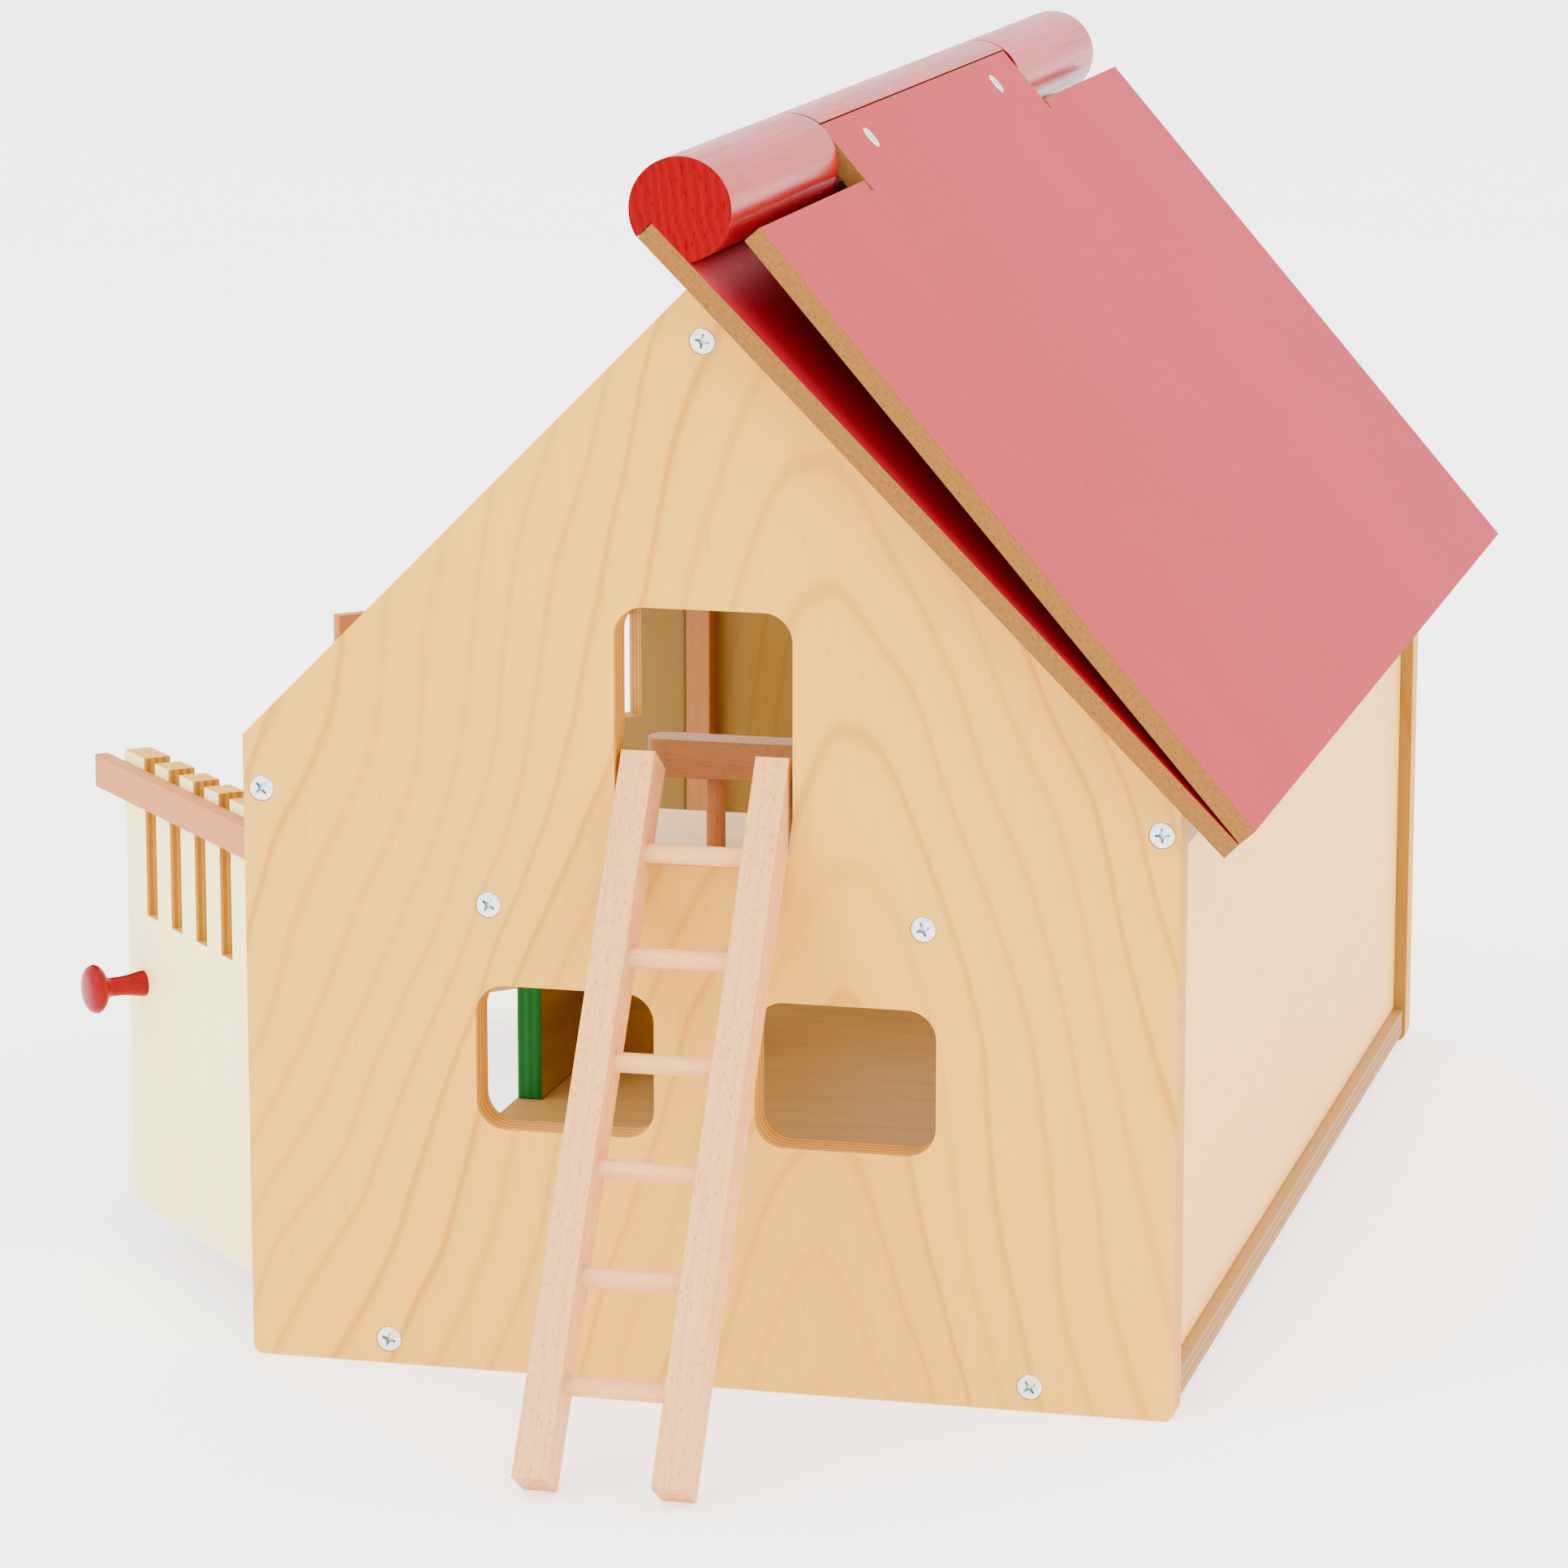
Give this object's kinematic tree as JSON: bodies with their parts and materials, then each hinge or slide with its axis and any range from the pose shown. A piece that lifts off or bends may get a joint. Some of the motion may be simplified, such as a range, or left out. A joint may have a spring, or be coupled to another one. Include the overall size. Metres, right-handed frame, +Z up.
{
  "type": "toy chicken coop",
  "caption": "Wooden toy hen house with a pitched roof whose half folds back on a ridge log, slatted door leaves and a lift-off ladder.",
  "frame": {"origin": "middle of the near gable's flat foot, on the ground", "axes": "+X across the house towards the closed back wall, +Y along the ridge towards the far gable, +Z up"},
  "size_m": [0.4125, 0.6315, 0.3779],
  "materials": {
    "birch_ply": "clear sanded birch plywood",
    "beech": "sanded beech",
    "green_ply": "green painted plywood",
    "inner_ply": "bare plywood",
    "red_board": "red paint on fibreboard with bare edges",
    "red_paint": "gloss red paint on wood",
    "steel": "zinc plated steel",
    "cream_birch": "pale birch"
  },
  "bodies": {
    "house": {"near_gable": "birch_ply", "far_gable": "birch_ply", "base_board": "birch_ply", "back_wall": "birch_ply", "front_rail": "beech", "back_rail": "beech", "ridge_batten": "beech", "loft_floor": "birch_ply", "perch_bar": "beech", "perch_posts": "beech", "nest_front": "green_ply", "nest_side": "inner_ply", "near_door_stop": "beech", "far_door_stop": "beech", "fixed_roof_board": "red_board", "near_ridge_log": "red_paint", "far_ridge_log": "red_paint", "ridge_pin": "steel", "ridge_log_screws": "steel", "near_gable_screws": "steel", "far_gable_screws": "steel"},
    "lid": {"roof_lid": "red_board", "middle_ridge_log": "red_paint", "lid_screws": "steel"},
    "near_door": {"near_leaf": "cream_birch", "near_handrail": "beech", "near_knob": "red_paint", "near_leaf_pins": "steel"},
    "far_door": {"far_leaf": "cream_birch", "far_handrail": "beech", "far_knob": "red_paint", "far_leaf_pins": "steel"},
    "ladder": {"ladder_left_rail": "beech", "ladder_right_rail": "beech", "ladder_rungs": "beech"}
  },
  "joints": [
    {"name": "lid_fold", "type": "hinge", "parent": "house", "child": "lid", "pos_m": [-0.0002, 0.238, 0.36244], "axis": [0, -1, 0], "range_deg": [0, 274.15]},
    {"name": "near_door_swing", "type": "hinge", "parent": "house", "child": "near_door", "pos_m": [-0.1355, 0.011, 0.09], "axis": [0, 0, 1], "range_deg": [-42, 48]},
    {"name": "far_door_swing", "type": "hinge", "parent": "house", "child": "far_door", "pos_m": [-0.1355, 0.465, 0.09], "axis": [0, 0, -1], "range_deg": [-45, 45]},
    {"name": "ladder_lift_off", "type": "slide", "parent": "house", "child": "ladder", "axis": [0, -1, 0], "range_m": [0, 0.12]}
  ]
}
